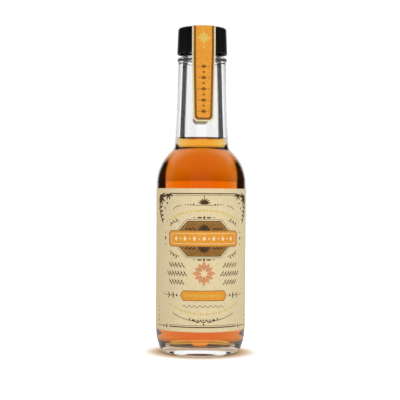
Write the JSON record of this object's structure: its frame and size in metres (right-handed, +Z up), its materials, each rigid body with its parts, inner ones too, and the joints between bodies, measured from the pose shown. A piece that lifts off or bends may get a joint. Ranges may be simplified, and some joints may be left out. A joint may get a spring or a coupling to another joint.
{
  "type": "bitters bottle",
  "caption": "Small long-necked clear glass bottle of amber bitters with a wrap label, screw cap, dasher insert and a paper seal strip over the cap.",
  "frame": {"origin": "centre of the resting ring, on the surface that the bottle stands on", "axes": "+Z up along the bottle's axis to the cap; -Y is the front, where the middle of the label faces; +X is to the right of someone who faces the front"},
  "size_m": [0.0474, 0.0474, 0.172],
  "materials": {
    "clear_glass": "gloss",
    "amber_liquid": "gloss",
    "natural_plastic": "satin",
    "black_plastic": "satin",
    "liner_foam": "matte",
    "cream_paper": "matte",
    "orange_paper": "satin"
  },
  "bodies": {
    "bottle": {"glass_bottle": "clear_glass", "bitters_liquid": "amber_liquid", "dasher_insert": "natural_plastic", "body_label": "cream_paper", "seal_strip_front": "orange_paper", "seal_strip_back": "orange_paper"},
    "liner": {"cap_liner": "liner_foam"},
    "cap": {"screw_cap": "black_plastic", "seal_strip_top": "orange_paper"}
  },
  "joints": [
    {"name": "cap_lift", "type": "slide", "parent": "bottle", "child": "liner", "axis": [0, 0, 1], "range_m": [0, 0.0143]},
    {"name": "cap_turn", "type": "hinge", "parent": "liner", "child": "cap", "pos_m": [0, 0, 0.165], "axis": [0, 0, 1], "range_deg": [0, 1620]}
  ],
  "couplings": [
    {"joint": "cap_lift", "follows": "cap_turn", "m_per_rad": 0.00050532}
  ]
}
